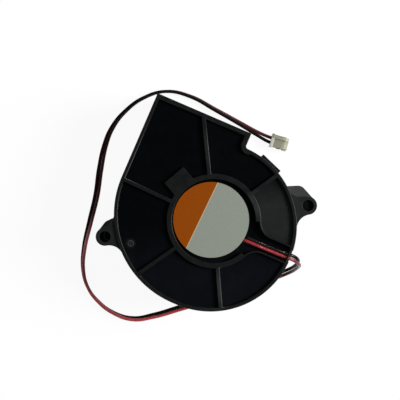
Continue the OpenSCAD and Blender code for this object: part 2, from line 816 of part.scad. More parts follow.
// Plate that insulates the poles, with a flange that keeps the winding in, built upwards from z = 0
module insulator_body() {
    flange_t = 0.7;
    flange_r = stator_r - shoe_t + flange_t;
    flange_span = pole_span - 16;
    linear_extrude(insulator_t) difference() {
        union() {
            circle(core_r);
            each_pole() translate([0, -pole_w / 2 - insulator_side])
                square([flange_r - flange_t / 2, pole_w + 2 * insulator_side]);
        }
        circle(tube_r + fit_gap);
    }
    linear_extrude(insulator_t + winding_t + fit_gap) each_pole() intersection() {
        ring_2d(flange_r, flange_r - flange_t);
        wedge_2d(flange_span);
    }
}

module each_pin() {
    each_pole() rotate(180 / pole_count) translate([pin_ring_r, 0, 0]) children();
}

module rear_insulator() {
    post_r = 0.95;
    color("#e4e0d4") difference() {
        union() {
            translate([0, 0, stack_top_z]) insulator_body();
            each_pin() translate([0, 0, stack_top_z]) cylinder(r = post_r, h = board_z - stack_top_z);
        }
        each_pin() translate([0, 0, pin_foot_z]) cylinder(d = pin_d + 2 * press_gap, h = body_height);
        cylinder(r = tube_r + fit_gap, h = body_height);
    }
}

module front_insulator() {
    color("#e4e0d4") translate([0, 0, stack_z]) mirror([0, 0, 1]) insulator_body();
}

// A rectangle with round corners, around the origin
module round_rect(size, radius) {
    square([size[0] - 2 * radius, size[1]], center = true);
    square([size[0], size[1] - 2 * radius], center = true);
    for (x = [-1, 1], y = [-1, 1])
        translate([x * (size[0] / 2 - radius), y * (size[1] / 2 - radius)]) circle(radius);
}

module coils() {
    inside = [pole_w + 2 * insulator_side + 2 * fit_gap, stack_h + 2 * insulator_t + 2 * run_gap];
    outside = inside + 2 * (winding_t - run_gap) * [1, 1];
    color("#b06a35") each_pole() translate([coil_in_r, 0, stack_z + stack_h / 2]) rotate([90, 0, 90])
        linear_extrude(coil_out_r - coil_in_r) difference() {
            round_rect(outside, winding_t);
            square(inside, center = true);
        }
}

module circuit_board() {
    color("#1f5a3a") translate([0, 0, board_z]) difference() {
        linear_extrude(board_t) ring_2d(board_r, tube_r + board_clear);
        each_pin() translate([0, 0, -cut]) cylinder(d = pin_d + 2 * fit_gap, h = board_t + 2 * cut);
    }
}

module winding_pins() {
    color("#c8ccce") each_pin() translate([0, 0, pin_foot_z])
        cylinder(d = pin_d, h = board_top_z + pin_out - pin_foot_z);
}

// Parts under the circuit board hang down from it at a place given by radius and angle
module under_board(radius, angle) {
    rotate(angle) translate([radius, 0, board_z]) mirror([0, 0, 1]) children();
}

module driver_chip() {
    body = [3.8, 4.8, 0.9];
    leg = [0.8, 0.4, 0.25];
    leg_out = 0.3;
    leg_pitch = 1.27;
    lift = 0.15;
    color("#1a1a1c") under_board(chip_ring_r, 225) {
        translate([-body[0] / 2, -body[1] / 2, lift]) cube(body);
        for (x = [-1, 1], i = [-1.5:1.5])
            translate([x * (body[0] / 2 + leg_out) - leg[0] / 2, i * leg_pitch - leg[1] / 2, 0]) cube(leg);
    }
}

module hall_sensor() {
    body = [1.6, 3, 0.75];
    leg = [0.6, 0.4, 0.2];
    leg_pitch = 0.95;
    color("#202022") under_board(magnet_in_r - leg[2], 135) {
        translate([-body[0] / 2, -body[1] / 2, leg[2] / 2]) cube(body);
        for (i = [-1:1])
            translate([-body[0] / 2 - leg[0] / 2, i * leg_pitch - leg[1] / 2, 0]) cube(leg);
    }
}

// A small chip part: a body between two end caps
module chip(size) {
    cap = size[1] / 4;
    lower = 0.04;
    translate([-size[0] / 2, cap - size[1] / 2, 0]) cube([size[0], size[1] - 2 * cap, size[2] - lower]);
    for (end = [-size[1] / 2, size[1] / 2 - cap])
        translate([-size[0] / 2, end, 0]) cube([size[0], cap, size[2]]);
}

module chip_capacitors() {
    color("#b39a76") for (angle = [35, 55]) under_board(11, angle) chip([1.25, 2, 0.9]);
}

module chip_resistors() {
    color("#2b2b2e") for (angle = [305, 325, 345]) under_board(11.4, angle) chip([0.8, 1.6, 0.5]);
}

module solder_joints() {
    pad_r = 0.85;
    drop_r = 0.7;
    drop_top_r = 0.5;
    color("#c4c8ca") {
        each_pin() translate([0, 0, board_top_z]) difference() {
            cylinder(r1 = pad_r, r2 = pin_d / 2 + fit_gap, h = pin_out - 2 * fit_gap);
            translate([0, 0, -cut]) cylinder(d = pin_d + 2 * press_gap, h = pin_out + 2 * cut);
        }
        difference() {
            for (y = wire_ends()) translate([strand_mid, y, board_top_z])
                cylinder(r1 = drop_r, r2 = drop_top_r, h = lead_start[2] - board_top_z);
            for (y = wire_ends()) translate([0, y, lead_start[2]]) rotate([0, 90, 0])
                cylinder(d = strand_d + 2 * press_gap, h = lead_start[0]);
        }
    }
}

function wire_ends() = [for (side = [-1, 1]) lead_start[1] + side * lead_start[5]];
module lead_ends() {
    color("#c98b55") for (y = wire_ends()) translate([lead_start[0] - strand_l, y, lead_start[2]])
        rotate([0, 90, 0]) cylinder(d = strand_d, h = strand_l - run_gap);
}

// Path of one wire: beside the centre of the pair
function lead_path(side) = [for (p = route)
    [p[0], p[1], p[2]] + side * p[5] * [cos(p[4]) * cos(p[3]), cos(p[4]) * sin(p[3]), sin(p[4])]];
module lead_red() { color("#a8161c") sweep(lead_path(-1), wire_d / 2, wire_sides); }
module lead_black() { color("#161616") sweep(lead_path(1), wire_d / 2, wire_sides); }

// The connector's own frame: from the middle of its wire end, with the ways side by side
module at_plug() {
    translate(plug_at) rotate(plug_angle) children();
}

module each_way() {
    at_plug() for (side = [-1, 1]) translate([0, side * way_pitch / 2, 0]) children();
}

module connector_housing() {
    flange_l = 1.2;
    nose_l = 2.6;
    waist = 0.25;
    body_w = plug_w - 2 * waist;
    nose_w = body_w - 2 * waist;
    nub = [1.9, 0.6, 2.6];
    ridge = [1.6, waist, 2];
    rail = [plug_l - nose_l / 2, 1.2, waist];
    rail_y = 0.7;
    barb = [1.8, 1, plug_t];
    color("#e9e6da") difference() {
        at_plug() {
            translate([0, -plug_w / 2, -plug_t / 2]) cube([flange_l, plug_w, plug_t]);
            translate([0, -body_w / 2, waist - plug_t / 2])
                cube([plug_l - nose_l / 2, body_w, plug_t - 2 * waist]);
            translate([plug_l - nose_l, -nose_w / 2, 2 * waist - plug_t / 2])
                cube([nose_l, nose_w, plug_t - 4 * waist]);
            // Locking nub and ridge on one narrow side, a rail along the upper side
            translate([plug_l - nub[0] - waist, -nose_w / 2 - nub[1], -nub[2] / 2])
                cube([nub[0], 2 * nub[1], nub[2]]);
            translate([(plug_l - ridge[0]) / 2, -body_w / 2 - ridge[1], -ridge[2] / 2])
                cube([ridge[0], 2 * ridge[1], ridge[2]]);
            translate([0, rail_y, plug_t / 2 - 2 * waist]) cube([rail[0], rail[1], 2 * rail[2]]);
        }
        each_way() translate([-cut, -cavity_w / 2, -cavity_w / 2])
            cube([plug_l + 2 * cut, cavity_w, cavity_h]);
        // Windows for the contacts' barbs
        each_way() translate([(plug_l - barb[0]) / 2, -barb[1] / 2, -barb[2]]) cube(barb);
    }
}

module crimp_contacts() {
    sheet = 0.2;
    box_l = 3.2;
    box_x = plug_l - box_l - 0.8;
    box = cavity_w - 2 * fit_gap;
    color("#c7b27a") each_way() difference() {
        union() {
            translate([plug_entry + run_gap, 0, 0]) rotate([0, 90, 0]) cylinder(d = 0.8 * box, h = box_l);
            translate([box_x, -box / 2, -box / 2]) cube([box_l, box, box]);
        }
        translate([box_x + sheet, -box / 2 + sheet, -box / 2 + sheet])
            cube([box_l, box - 2 * sheet, box - 2 * sheet]);
    }
}

rear_housing();
front_cover();
label();
impeller();
hub_insert();
rotor_yoke();
magnet_ring();
shaft();
shaft_clip();
thrust_washer();
preload_spring();
bearing_tube();
rear_outer_race();
rear_inner_race();
rear_balls();
rear_cage();
rear_shields();
front_outer_race();
front_inner_race();
front_balls();
front_cage();
front_shields();
stator_laminations();
rear_insulator();
front_insulator();
coils();
circuit_board();
winding_pins();
driver_chip();
hall_sensor();
chip_capacitors();
chip_resistors();
solder_joints();
lead_ends();
lead_red();
lead_black();
connector_housing();
crimp_contacts();
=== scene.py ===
"""Looks of the radial blower: its camera and light, wires, rounded edges and finishes."""

import json
import math

import bmesh
import bpy
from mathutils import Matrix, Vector

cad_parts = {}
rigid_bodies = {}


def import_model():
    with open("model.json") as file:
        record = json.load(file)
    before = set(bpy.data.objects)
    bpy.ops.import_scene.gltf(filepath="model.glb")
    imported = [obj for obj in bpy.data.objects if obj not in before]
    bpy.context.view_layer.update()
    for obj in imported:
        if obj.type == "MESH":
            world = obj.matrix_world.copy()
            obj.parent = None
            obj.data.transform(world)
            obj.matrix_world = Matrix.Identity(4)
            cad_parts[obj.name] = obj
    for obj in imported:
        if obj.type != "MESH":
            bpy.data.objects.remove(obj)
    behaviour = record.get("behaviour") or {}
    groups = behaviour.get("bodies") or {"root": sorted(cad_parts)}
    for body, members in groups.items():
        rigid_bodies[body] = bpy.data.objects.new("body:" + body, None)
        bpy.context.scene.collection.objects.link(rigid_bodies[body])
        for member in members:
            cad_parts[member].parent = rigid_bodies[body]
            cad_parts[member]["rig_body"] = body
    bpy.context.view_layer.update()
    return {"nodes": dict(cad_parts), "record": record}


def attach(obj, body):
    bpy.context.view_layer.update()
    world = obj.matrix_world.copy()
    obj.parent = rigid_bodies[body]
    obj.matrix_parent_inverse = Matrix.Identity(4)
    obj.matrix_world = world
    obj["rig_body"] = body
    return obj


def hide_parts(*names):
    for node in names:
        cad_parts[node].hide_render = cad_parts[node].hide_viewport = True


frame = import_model()
nodes = frame["nodes"]
scene = bpy.context.scene
MM = 0.001

# The camera looks straight down on the motor side, whose face lies at REAR_Z
EYE = Vector((-7.3, 5.6, 480)) * MM
ROLL = math.radians(23.3)
REAR_Z = 30 * MM
VIEW_WIDTH = 161.5 * MM
NEAR_CLIP = 10 * MM

# Lamps: name, place and size in metres, power in watts
LAMPS = [("key", (0.723, 0.385, 0.574), 0.45, 16.5), ("glint", (0.085, 0.55, 0.75), 0.065, 0.5)]
LAMP_TARGET = Vector((0, 0, 0.02))
WORLD_LIGHT = 0.25

# Floor: half its width in metres, height, and the share of its white that no shadow dims
FLOOR_HALF = 4.0
FLOOR_Z = -0.05 * MM
FLOOR_GLOW = 0.93
# Hardly any light reaches the floor in the slit between the wires: reach and range of open sky
SLIT_REACH = 2 * MM
SLIT_SKY = (0.18, 0.4)
# Nor under the holes of the ears: their centres, and the radii between which the shade fades
EARS = [Vector((33.73, 20.79)) * MM, Vector((-36.83, -23.29)) * MM]
EAR_SHADE_R = 2.6 * MM
EAR_LIGHT_R = 1.6 * EAR_SHADE_R

WIRE_D = 1.4 * MM
# Centre of the pair of wires in mm, direction from red to black as azimuth and tilt, half their distance
ROUTE = [
    (9.5, -1.5, 25.5, 90, 0, 0.75), (11.5, -1.5, 25.8, 90, 0, 0.75), (13.5, -1.5, 26.9, 90, 0, 0.75),
    (15.5, -1.5, 27.9, 90, 0, 0.75), (18, -1.5, 28.4, 90, 0, 0.75), (32, -1.3, 28.4, 90, 0, 0.75),
    (35.5, -1.1, 28.3, 92, 0, 0.75), (37.8, -1.2, 27.2, 100, 0, 0.75),
    (39.4, -1.7, 25, 115, 0, 0.75), (40.4, -2.3, 21, 135, -8, 0.75), (40.9, -3.3, 15, 150, -18, 0.75),
    (40.9, -4.5, 10, 150, -20, 0.75), (40.5, -5.8, 6.2, 145, -18, 0.75), (39.3, -7.6, 3.3, 138, -14, 0.75),
    (37.1, -10.1, 1.4, 133, -12, 0.75), (33.2, -13.9, 0.86, 131, -12, 0.75),
    (23, -23.2, 0.92, 131, -16, 0.75), (13, -32.1, 0.97, 131, -20, 0.75), (3, -40.6, 1.04, 130, -26, 0.75),
    (-6, -48, 1.2, 126, -40, 0.75), (-13.5, -52.6, 1.37, 110, -60, 0.75), (-22, -53.6, 1.46, 86, -80, 0.75),
    (-30.5, -51.6, 1.48, 66, -90, 0.75), (-37, -47.6, 1.47, 48, -98, 0.75),
    (-41.6, -41.6, 1.44, 32, -108, 0.75), (-44.8, -33, 1.34, 17, -125, 0.75),
    (-46.9, -22, 1.14, 10, -146, 0.75), (-49, -10, 0.98, 12, -160, 0.75), (-52, 1, 0.98, 12, -200, 0.75),
    (-54, 11, 1.22, 4, -222, 0.75), (-54.2, 19, 1.38, -10, -240, 0.75), (-51.8, 28, 1.46, -22, -258, 0.75),
    (-46.6, 36.6, 1.5, -38, -268, 0.75), (-39, 42.7, 1.5, -60, -276, 0.75),
    (-28.7, 44.8, 1.46, -86, -286, 0.75), (-16.5, 43.8, 1.42, -95, -297, 0.75),
    (-4.2, 42.5, 1.42, -97, -312, 0.75), (4.2, 41.5, 1.8, -95, -332, 0.8),
    (10, 41.15, 2.4, -84, -360, 1), (11.98, 41.41, 2.4, -82.5, -360, 1),
]
# Where the red wire is painted palest, as a painted highlight, and where the black one shows a painted
# reflection of the red, with the fading radii
PAINTED_HIGHLIGHT_RED = (Vector((-46, -24, 0)) * MM, 4 * MM, 16 * MM)
PAINTED_RED_REFLECTION = (Vector((-52, 4, 0)) * MM, 14 * MM, 26 * MM)
# Ranges in which the look of the wires changes: into the channel, to its gloss, to the painted shade of the
# loop outside
CHANNEL_Z = (24 * MM, 27 * MM)
GLOSSY_Z = (28.75 * MM, 28.95 * MM)
LOOP_X = (36 * MM, 38 * MM)
# Along the outlet's side, from painted light to painted shade, and there from dark red to the deep red at
# the plug, both painted shade
PAINTED_SHADE_SLOPE = 0.5
PAINTED_SHADE_Y = (-9 * MM, 5 * MM)
DEEP_RED_X = (-30 * MM, -14 * MM)
VINYL_PATCH = 1.5 * MM
VINYL_COAT_ROUGHNESS = 0.14

# Wire end, direction, length and width of the plug
PLUG_AT = Vector((10.4, 41.2, 2.4)) * MM
PLUG_ANGLE = math.radians(7.5)
PLUG_L = 7.6 * MM
PLUG_W = 5.8 * MM

# Rounding of edges: sharper than the crease only, by where they lie
CREASE = math.radians(30)
FLAT = math.radians(1)
WELD = 1e-6
REAR_EDGE_Z = 27 * MM
REAR_ROUND = 0.3 * MM
LOW_ROUND = 0.1 * MM
PIN_MARK_ROUND = 0.03 * MM
PLUG_ROUND = 0.12 * MM

# Ejector pin marks in the panels; the second shows as a pale ring
PIN_MARK_R = 2.25 * MM
PIN_MARKS = [Vector((27.2, -11.2)) * MM, Vector((-26.1, -21.6)) * MM]

# Finishes of the rear shell, and the heights in mm and angles in degrees of the faces that have them
REAR_FINISHES = ["housing_plastic", "housing_panel", "lit_panel", "ear_top", "ear_shelf", "pin_mark"]
FACES_UP = 0.9
RIM_Z = 29.5
PANEL_Z = (27.3, 28.75)
EAR_TOP_Z = (29, 29.4)
EAR_SHELF_Z = (26.3, 26.9)
LIT_PANEL_ANGLE = (10, 56)
# Direction from the shaft to the round end, along which painted light changes the panels' tone
ROUND_END = math.radians(-66.7)
PANEL_PAINTED_LIGHT = (2 * MM, 22 * MM)
LIT_PANEL = (-15 * MM, -5.5 * MM)
# Places where light is painted onto the top of the black plastic as paler patches: centre and radius in mm,
# tone
PAINTED_LIGHT_PATCHES = [
    (13.8, -24.9, 9, 0.017), (14.4, -34, 7, 0.007), (14.7, 12.8, 7, 0.014), (-13, 25.1, 8, 0.007),
]
PAINTED_LIGHT_Z = (26 * MM, 29 * MM)

# Label: place and turn of the line between its two fields, half the line's width
LABEL_LINE_AT = Vector((-4.05, 0, 0)) * MM
LABEL_LINE_TURN = math.radians(-2.4)
LABEL_LINE_HALF = 0.13 * MM

WINDING_PITCH = 0.3 * MM

# Moulded pieces: dark and light tone, roughness, size and depth of the grain in mm, specular level
MOULDED = {
    # ear_top and ear_shelf are lighter copies of the housing's black plastic: painted light on the ears'
    # tops and shelf
    "ear_top": ((0.0076, 0.0088, 0.0086), (0.0105, 0.0122, 0.0118), 0.48, 0.3, 0.014, 0.12),
    "ear_shelf": ((0.027, 0.0281, 0.0273), (0.0336, 0.0353, 0.0344), 0.5, 0.3, 0.014, 0.15),
    "cover_plastic": ((0.0014, 0.0017, 0.0018), (0.0026, 0.003, 0.0031), 0.45, 0.35, 0.012, 0.2),
    "wheel_plastic": ((0.016, 0.017, 0.019), (0.026, 0.028, 0.03), 0.36, 0.5, 0.008, 0.5),
    "washer_plastic": ((0.66, 0.62, 0.5), (0.78, 0.75, 0.65), 0.45, 0.3, 0.004, 0.5),
    "ferrite": ((0.035, 0.032, 0.03), (0.06, 0.055, 0.052), 0.62, 0.25, 0.012, 0.5),
    "insulator_plastic": ((0.68, 0.64, 0.53), (0.8, 0.77, 0.67), 0.42, 0.4, 0.006, 0.5),
    "board_laminate": ((0.012, 0.11, 0.045), (0.03, 0.2, 0.085), 0.32, 0.5, 0.006, 0.5),
    "chip_plastic": ((0.014, 0.014, 0.015), (0.028, 0.028, 0.03), 0.5, 0.2, 0.006, 0.5),
    "capacitor_ceramic": ((0.36, 0.25, 0.14), (0.5, 0.38, 0.24), 0.4, 0.3, 0.004, 0.5),
}
# Metals: dark and light tone, roughness, how much finer the streaks are along X, Y and Z, their size in mm
EVEN = (1, 1, 1)
TURNED = (1, 1, 12)
METALS = {
    "brass": ((0.55, 0.36, 0.12), (0.78, 0.58, 0.27), 0.3, TURNED, 0.6),
    "bearing_steel": ((0.52, 0.54, 0.56), (0.7, 0.72, 0.74), 0.18, TURNED, 0.6),
    "cage_brass": ((0.46, 0.31, 0.11), (0.66, 0.48, 0.21), 0.36, EVEN, 0.6),
    "shaft_steel": ((0.55, 0.57, 0.59), (0.74, 0.76, 0.78), 0.2, TURNED, 0.6),
    "yoke_steel": ((0.4, 0.42, 0.44), (0.58, 0.6, 0.62), 0.36, (1, 1, 6), 0.6),
    "lamination_steel": ((0.3, 0.31, 0.33), (0.46, 0.48, 0.5), 0.42, (1, 1, 20), 0.6),
    "solder": ((0.58, 0.59, 0.6), (0.74, 0.75, 0.76), 0.26, EVEN, 0.6),
    "copper_strands": ((0.5, 0.24, 0.11), (0.78, 0.45, 0.26), 0.3, (1, 14, 14), 0.4),
    "contact_metal": ((0.6, 0.52, 0.34), (0.76, 0.7, 0.52), 0.28, EVEN, 0.6),
}


def make_camera():
    camera = bpy.data.objects.new("camera", bpy.data.cameras.new("camera"))
    scene.collection.objects.link(camera)
    camera.location = EYE
    camera.rotation_euler = (0, 0, ROLL)
    camera.data.lens = camera.data.sensor_width * (EYE.z - REAR_Z) / VIEW_WIDTH
    camera.data.clip_start = NEAR_CLIP
    scene.camera = camera


def wire_points(side):
    """Path of one wire beside the pair's centre: side is 1 for black and -1 for red."""
    points = []
    for x, y, z, azimuth, tilt, half in ROUTE:
        turn, lift = math.radians(azimuth), math.radians(tilt)
        across = Vector((math.cos(lift) * math.cos(turn), math.cos(lift) * math.sin(turn), math.sin(lift)))
        points.append((Vector((x, y, z)) + side * half * across) * MM)
    return points


def make_wire(colour, side):
    curve = bpy.data.curves.new(f"wire_{colour}", "CURVE")
    curve.dimensions = "3D"
    curve.bevel_depth = 1.0
    curve.bevel_resolution = 5
    curve.resolution_u = 10
    curve.use_fill_caps = True
    spline = curve.splines.new("BEZIER")
    points = wire_points(side)
    spline.bezier_points.add(len(points) - 1)
    for knot, point in zip(spline.bezier_points, points):
        knot.co = point
        knot.radius = WIRE_D / 2
        knot.handle_left_type = "AUTO"
        knot.handle_right_type = "AUTO"
    wire = bpy.data.objects.new(f"wire_{colour}", curve)
    scene.collection.objects.link(wire)
    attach(wire, "housing")
    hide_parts(f"lead_{colour}")
    return wire


def shell_width(edge):
    """Width of a shell edge's rounding: broad on the rear face, faint in pin marks, none in corners."""
    if not edge.is_convex:
        return 0
    if min(vert.co.z for vert in edge.verts) < REAR_EDGE_Z:
        return LOW_ROUND
    middle = (edge.verts[0].co + edge.verts[1].co) / 2
    if any((middle.xy - mark).length < 1.1 * PIN_MARK_R for mark in PIN_MARKS):
        return PIN_MARK_ROUND
    return REAR_ROUND


def plug_width(edge):
    """Width of a plug edge's rounding, the same for each."""
    return PLUG_ROUND


def rounded(node, name, width_of):
    """A copy of a CAD node with rounded edges, which stands for the node."""
    work = bmesh.new()
    work.from_mesh(nodes[node].data)
    bmesh.ops.remove_doubles(work, verts=work.verts, dist=WELD)
    bmesh.ops.dissolve_limit(work, angle_limit=FLAT, verts=work.verts, edges=work.edges)
    weight = work.edges.layers.float.new("bevel_weight_edge")
    for edge in work.edges:
        if len(edge.link_faces) == 2 and edge.calc_face_angle() > CREASE:
            edge[weight] = width_of(edge) / MM
    mesh = bpy.data.meshes.new(name)
    work.to_mesh(mesh)
    work.free()
    mesh.shade_smooth()
    piece = bpy.data.objects.new(name, mesh)
    scene.collection.objects.link(piece)
    bevel = piece.modifiers.new("round_edges", "BEVEL")
    bevel.limit_method = "WEIGHT"
    bevel.width = MM
    bevel.segments = 3
    bevel.use_clamp_overlap = False
    piece.modifiers.new("flat_faces", "WEIGHTED_NORMAL")
    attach(piece, nodes[node]["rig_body"])
    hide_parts(node)
    return piece


class Finish:
    """A procedural material under construction, around one shader."""

    def __init__(self, name):
        self.material = bpy.data.materials.new(name)
        self.material.use_nodes = True
        self.tree = self.material.node_tree
        self.shader = self.tree.nodes["Principled BSDF"]
        self.coords = self.add("ShaderNodeTexCoord")

    def add(self, kind, **settings):
        node = self.tree.nodes.new(kind)
        for key, value in settings.items():
            setattr(node, key, value)
        return node

    def link(self, source, target):
        self.tree.links.new(source, target)

    def set(self, **sockets):
        """Sets constant shader values; an underscore in a name stands for a space."""
        for key, value in sockets.items():
            self.shader.inputs[key.replace("_", " ")].default_value = value
        return self

    def noise(self, size, detail=3.0, stretch=EVEN):
        """Noise whose patches are about size metres wide."""
        place = self.add("ShaderNodeMapping")
        place.inputs["Scale"].default_value = stretch
        noise = self.add("ShaderNodeTexNoise")
        noise.inputs["Scale"].default_value = 1 / size
        noise.inputs["Detail"].default_value = detail
        self.link(self.coords.outputs["Object"], place.inputs["Vector"])
        self.link(place.outputs["Vector"], noise.inputs["Vector"])
        return noise.outputs["Fac"]

    def ramp(self, factor, *stops):
        """Colours at places along a factor, each stop a place and a colour."""
        ramp = self.add("ShaderNodeValToRGB")
        elements = ramp.color_ramp.elements
        while len(elements) < len(stops):
            elements.new(0.5)
        for element, (place, colour) in zip(elements, stops):
            element.position = place
            element.color = (*colour, 1)
        self.link(factor, ramp.inputs["Fac"])
        return ramp.outputs["Color"]

    def mottle(self, size, dark, light, stretch=EVEN):
        """Colour that wavers between two tones in patches of a size."""
        return self.ramp(self.noise(size, stretch=stretch), (0.3, dark), (0.7, light))

    def maths(self, operation, first, *others):
        """A sum on sockets and numbers."""
        node = self.add("ShaderNodeMath", operation=operation)
        for place, value in zip(node.inputs, (first, *others)):
            if isinstance(value, (int, float)):
                place.default_value = value
            else:
                self.link(value, place)
        return node.outputs["Value"]

    def blend(self, factor, first, second):
        """Changes from the first colour to the second with a factor."""
        node = self.add("ShaderNodeMix", data_type="RGBA")
        self.link(factor, node.inputs["Factor"])
        self.link(first, node.inputs[6])
        self.link(second, node.inputs[7])
        return node.outputs[2]

    def tint(self, first, second):
        """One colour times another."""
        node = self.add("ShaderNodeMix", data_type="RGBA", blend_type="MULTIPLY")
        node.inputs["Factor"].default_value = 1.0
        self.link(first, node.inputs[6])
        self.link(second, node.inputs[7])
        return node.outputs[2]

    def local(self, place=(0, 0, 0), turn=0):
        """X, Y and Z in a frame at a place, turned about Z."""
        mapping = self.add("ShaderNodeMapping", vector_type="TEXTURE")
        mapping.inputs["Location"].default_value = place
        mapping.inputs["Rotation"].default_value = (0, 0, turn)
        self.link(self.coords.outputs["Object"], mapping.inputs["Vector"])
        parts = self.add("ShaderNodeSeparateXYZ")
        self.link(mapping.outputs["Vector"], parts.inputs["Vector"])
        return parts.outputs

    def reach(self, place=(0, 0, 0)):
        """Distance from the upright line through a place."""
        x, y, _ = self.local(place)
        squares = self.maths("ADD", self.maths("MULTIPLY", x, x), self.maths("MULTIPLY", y, y))
        return self.maths("SQRT", squares)

    def span(self, factor, start, end, low=0, high=1):
        """Maps a factor from one range to another."""
        span = self.add("ShaderNodeMapRange")
        for place, value in zip(("From Min", "From Max", "To Min", "To Max"), (start, end, low, high)):
            span.inputs[place].default_value = value
        self.link(factor, span.inputs["Value"])
        return span.outputs["Result"]

    def near(self, place, inner, outer):
        """1 within the inner radius around a place, 0 beyond the outer one."""
        return self.span(self.reach(place), inner, outer, 1, 0)

    def colour(self, source):
        self.link(source, self.shader.inputs["Base Color"])

    def roughness(self, size, low, high, stretch=EVEN):
        patches = self.span(self.noise(size, 4.0, stretch), 0.3, 0.7, low, high)
        self.link(patches, self.shader.inputs["Roughness"])

    def bump(self, height, depth):
        bump = self.add("ShaderNodeBump")
        bump.inputs["Strength"].default_value = 1.0
        bump.inputs["Distance"].default_value = depth
        self.link(height, bump.inputs["Height"])
        self.link(bump.outputs["Normal"], self.shader.inputs["Normal"])

    def grain(self, size, depth, stretch=EVEN):
        self.bump(self.noise(size, 2.0, stretch), depth)


def moulded(name, dark, light, rough, grain, relief, specular):
    """Moulded plastic: patches of colour and gloss, and a fine grain."""
    finish = Finish(name).set(Specular_IOR_Level=specular)
    finish.colour(finish.mottle(6 * MM, dark, light))
    finish.roughness(2.5 * MM, rough - 0.07, rough + 0.07)
    finish.grain(grain * MM, relief * MM)
    return finish.material


def metal(name, dark, light, rough, stretch, streak):
    """Metal with drawn or turned streaks."""
    finish = Finish(name).set(Metallic=1.0)
    finish.colour(finish.mottle(streak * MM, dark, light, stretch))
    finish.roughness(streak * MM, rough - 0.08, rough + 0.1, stretch)
    finish.grain(streak * MM / 2, 0.004 * MM, stretch)
    return finish.material


def housing_plastic():
    """Black plastic of the rear shell, with painted light as paler patches in places on its top."""
    finish = Finish("housing_plastic").set(Specular_IOR_Level=0.2)
    tone = finish.mottle(6 * MM, (0.0014, 0.0018, 0.0018), (0.0024, 0.0029, 0.0028))
    top = finish.span(finish.local()["Z"], *PAINTED_LIGHT_Z)
    # Each patch is painted light: a paler tone on the top faces around its centre
    for x, y, radius, pale in PAINTED_LIGHT_PATCHES:
        near = finish.near(Vector((x, y, 0)) * MM, 0.4 * radius * MM, radius * MM)
        dimmer_painted_light = (0.8 * pale, 0.95 * pale, 0.93 * pale)
        painted_light = finish.mottle(2 * MM, dimmer_painted_light, (pale, 1.15 * pale, 1.13 * pale))
        tone = finish.blend(finish.maths("MULTIPLY", near, top), tone, painted_light)
    finish.colour(tone)
    finish.roughness(2.5 * MM, 0.35, 0.49)
    finish.grain(0.35 * MM, 0.012 * MM)
    return finish.material


def panel_surface(finish):
    """Gloss and grain that the sunk panels share."""
    finish.roughness(2.5 * MM, 0.43, 0.57)
    finish.grain(0.3 * MM, 0.015 * MM)


def panel_plastic():
    """Sunk panels: almost black at the outlet, with bluish painted light at the round end."""
    finish = Finish("housing_panel").set(Specular_IOR_Level=0.03)
    black = finish.mottle(6 * MM, (0.0001, 0.0006, 0.001), (0.0004, 0.001, 0.0015))
    bluish_painted_light = finish.mottle(6 * MM, (0.0018, 0.0024, 0.0035), (0.0026, 0.0034, 0.0046))
    down, _, _ = finish.local(turn=ROUND_END)
    finish.colour(finish.blend(finish.span(down, *PANEL_PAINTED_LIGHT), black, bluish_painted_light))
    panel_surface(finish)
    return finish.material


def lit_panel_plastic():
    """The sunk panel beside the wires: greenish grey in painted light, with painted shade darker at its
    rib.
    """
    finish = Finish("lit_panel").set(Specular_IOR_Level=0.08)
    shaded = finish.mottle(5 * MM, (0.0018, 0.0024, 0.0022), (0.003, 0.0038, 0.0035))
    lit = finish.mottle(5 * MM, (0.0075, 0.0095, 0.009), (0.0105, 0.013, 0.0122))
    down, _, _ = finish.local(turn=ROUND_END)
    finish.colour(finish.blend(finish.span(down, *LIT_PANEL), shaded, lit))
    panel_surface(finish)
    return finish.material


def pin_mark_plastic():
    """Ejector pin mark: panel plastic with a paler ring."""
    finish = Finish("pin_mark").set(Specular_IOR_Level=0.1)
    ring = finish.ramp(
        finish.maths("DIVIDE", finish.reach((*PIN_MARKS[1], 0)), PIN_MARK_R),
        (0.1, (0.4, 0.4, 0.4)), (0.28, (0, 0, 0)), (0.5, (1, 1, 1)), (0.66, (0, 0, 0)),
    )
    black = finish.mottle(3 * MM, (0.0008, 0.0013, 0.002), (0.0012, 0.0018, 0.0026))
    pale = finish.mottle(0.7 * MM, (0.014, 0.015, 0.015), (0.05, 0.053, 0.053))
    finish.colour(finish.blend(ring, black, pale))
    panel_surface(finish)
    return finish.material


def label_film():
    """Printed film: an orange field on grey with a pale line between them."""
    finish = Finish("label_film").set(Specular_IOR_Level=0.05)
    grey = finish.mottle(0.5 * MM, (0.2, 0.22, 0.186), (0.22, 0.242, 0.207))
    orange = finish.mottle(0.5 * MM, (0.2, 0.042, 0.0008), (0.23, 0.049, 0.0014))
    pale = finish.mottle(0.5 * MM, (0.41, 0.33, 0.2), (0.46, 0.37, 0.23))
    across, _, _ = finish.local(LABEL_LINE_AT, LABEL_LINE_TURN)
    fields = finish.blend(finish.maths("LESS_THAN", across, 0), grey, orange)
    finish.colour(finish.blend(finish.maths("COMPARE", across, 0, LABEL_LINE_HALF), fields, pale))
    finish.roughness(1.5 * MM, 0.42, 0.56)
    finish.grain(0.25 * MM, 0.006 * MM)
    return finish.material


